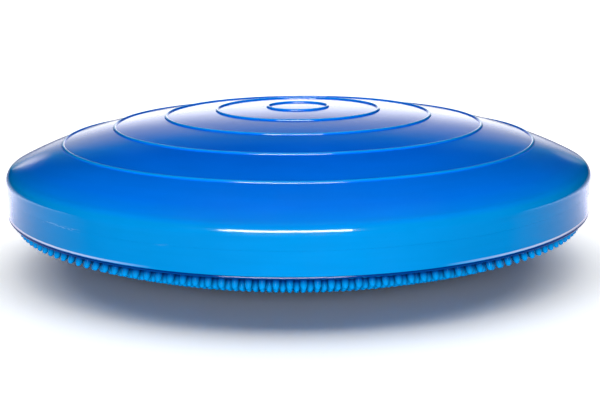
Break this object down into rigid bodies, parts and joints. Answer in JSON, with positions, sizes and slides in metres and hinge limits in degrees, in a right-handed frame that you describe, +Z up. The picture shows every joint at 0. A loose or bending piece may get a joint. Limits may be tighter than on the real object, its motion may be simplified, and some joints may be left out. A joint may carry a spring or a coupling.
{
  "type": "balance disc",
  "caption": "Round air-filled balance cushion with a ribbed upper dome, a rim wall, a nubbed lower dome and an inflation valve, to stand or sit on.",
  "frame": {"origin": "on the disc's axis, at the level of the tips of the nubs that it stands on", "axes": "+Z up along the disc's axis, towards the ribbed dome; the valve is in the underside on the +Y side"},
  "size_m": [0.33, 0.33, 0.0871],
  "materials": {
    "upper_vinyl": "gloss",
    "lower_vinyl": "gloss",
    "collar_vinyl": "satin",
    "core_rubber": "matte",
    "plug_plastic": "satin"
  },
  "bodies": {
    "base": {"lower_shell": "lower_vinyl", "valve_collar": "collar_vinyl", "valve_core": "core_rubber"},
    "crown": {"upper_shell": "upper_vinyl"},
    "plug": {"valve_plug": "plug_plastic"}
  },
  "joints": [
    {"name": "crown_press", "type": "slide", "parent": "base", "child": "crown", "axis": [0, 0, 1], "range_m": [-0.02, 0], "stiffness_N_per_m": 30000, "deforming": ["upper_shell"]},
    {"name": "plug_pull", "type": "slide", "parent": "base", "child": "plug", "axis": [0, 0.2179, -0.976], "range_m": [0, 0.008]}
  ]
}
